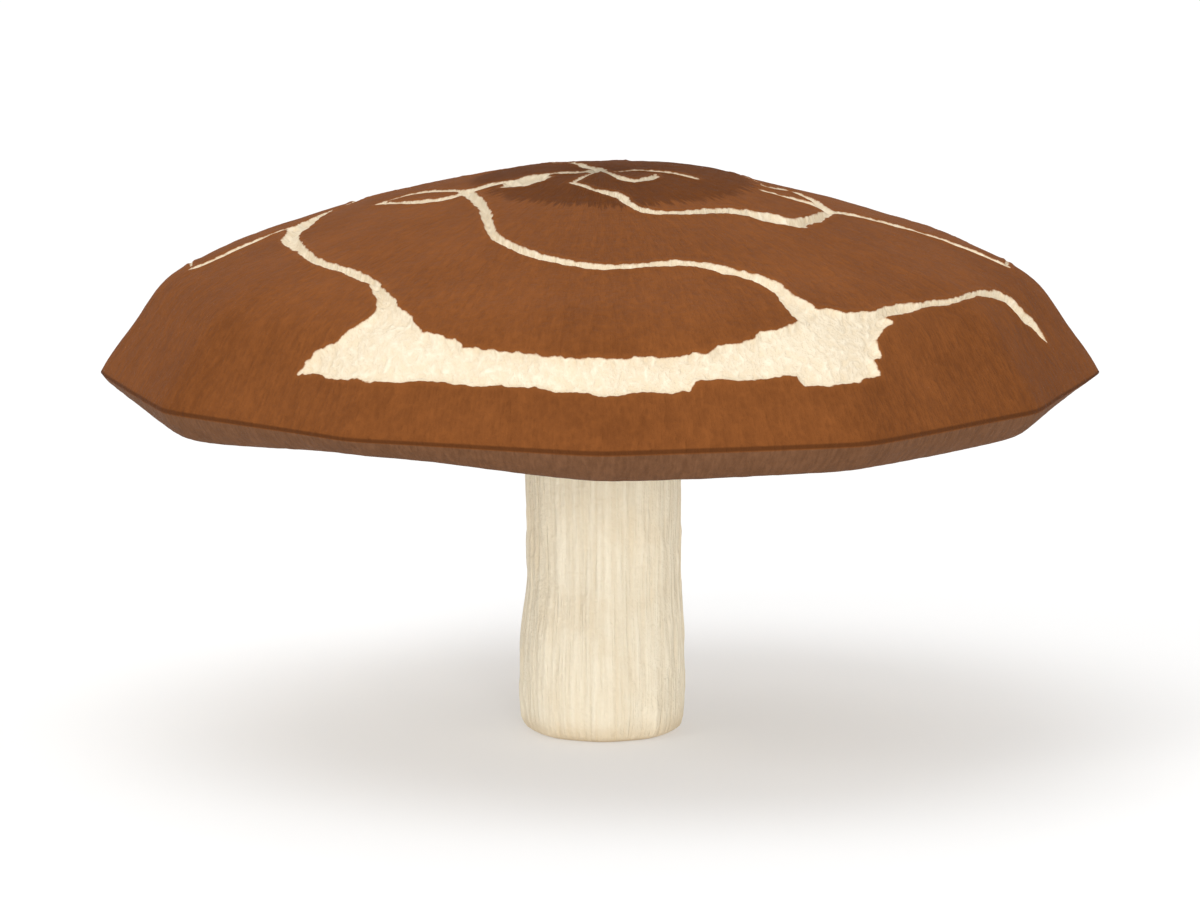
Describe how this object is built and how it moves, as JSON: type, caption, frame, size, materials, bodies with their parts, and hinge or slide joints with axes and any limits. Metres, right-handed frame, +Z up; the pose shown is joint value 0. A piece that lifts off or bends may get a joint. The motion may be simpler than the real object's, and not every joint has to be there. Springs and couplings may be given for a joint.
{
  "type": "shiitake mushroom",
  "caption": "Shiitake mushroom with a broad, shallow, slightly cornered cap, a rolled rim, crowded radial gills and a short pale stem cut flat to stand on.",
  "frame": {"origin": "the middle of the stem's flat cut end, on the surface that the mushroom stands on", "axes": "+Z up along the stem, -Y the front that the picture shows, +X to the right of that view"},
  "size_m": [0.0904, 0.0898, 0.0517],
  "materials": {
    "cap_skin": "dry and matt, brown with cream cracks where the skin has split",
    "gill_flesh": "matt, cream",
    "stem_skin": "matt, fibrous, cream"
  },
  "bodies": {
    "root": {"cap": "cap_skin", "gills": "gill_flesh", "stem": "stem_skin"}
  },
  "joints": []
}
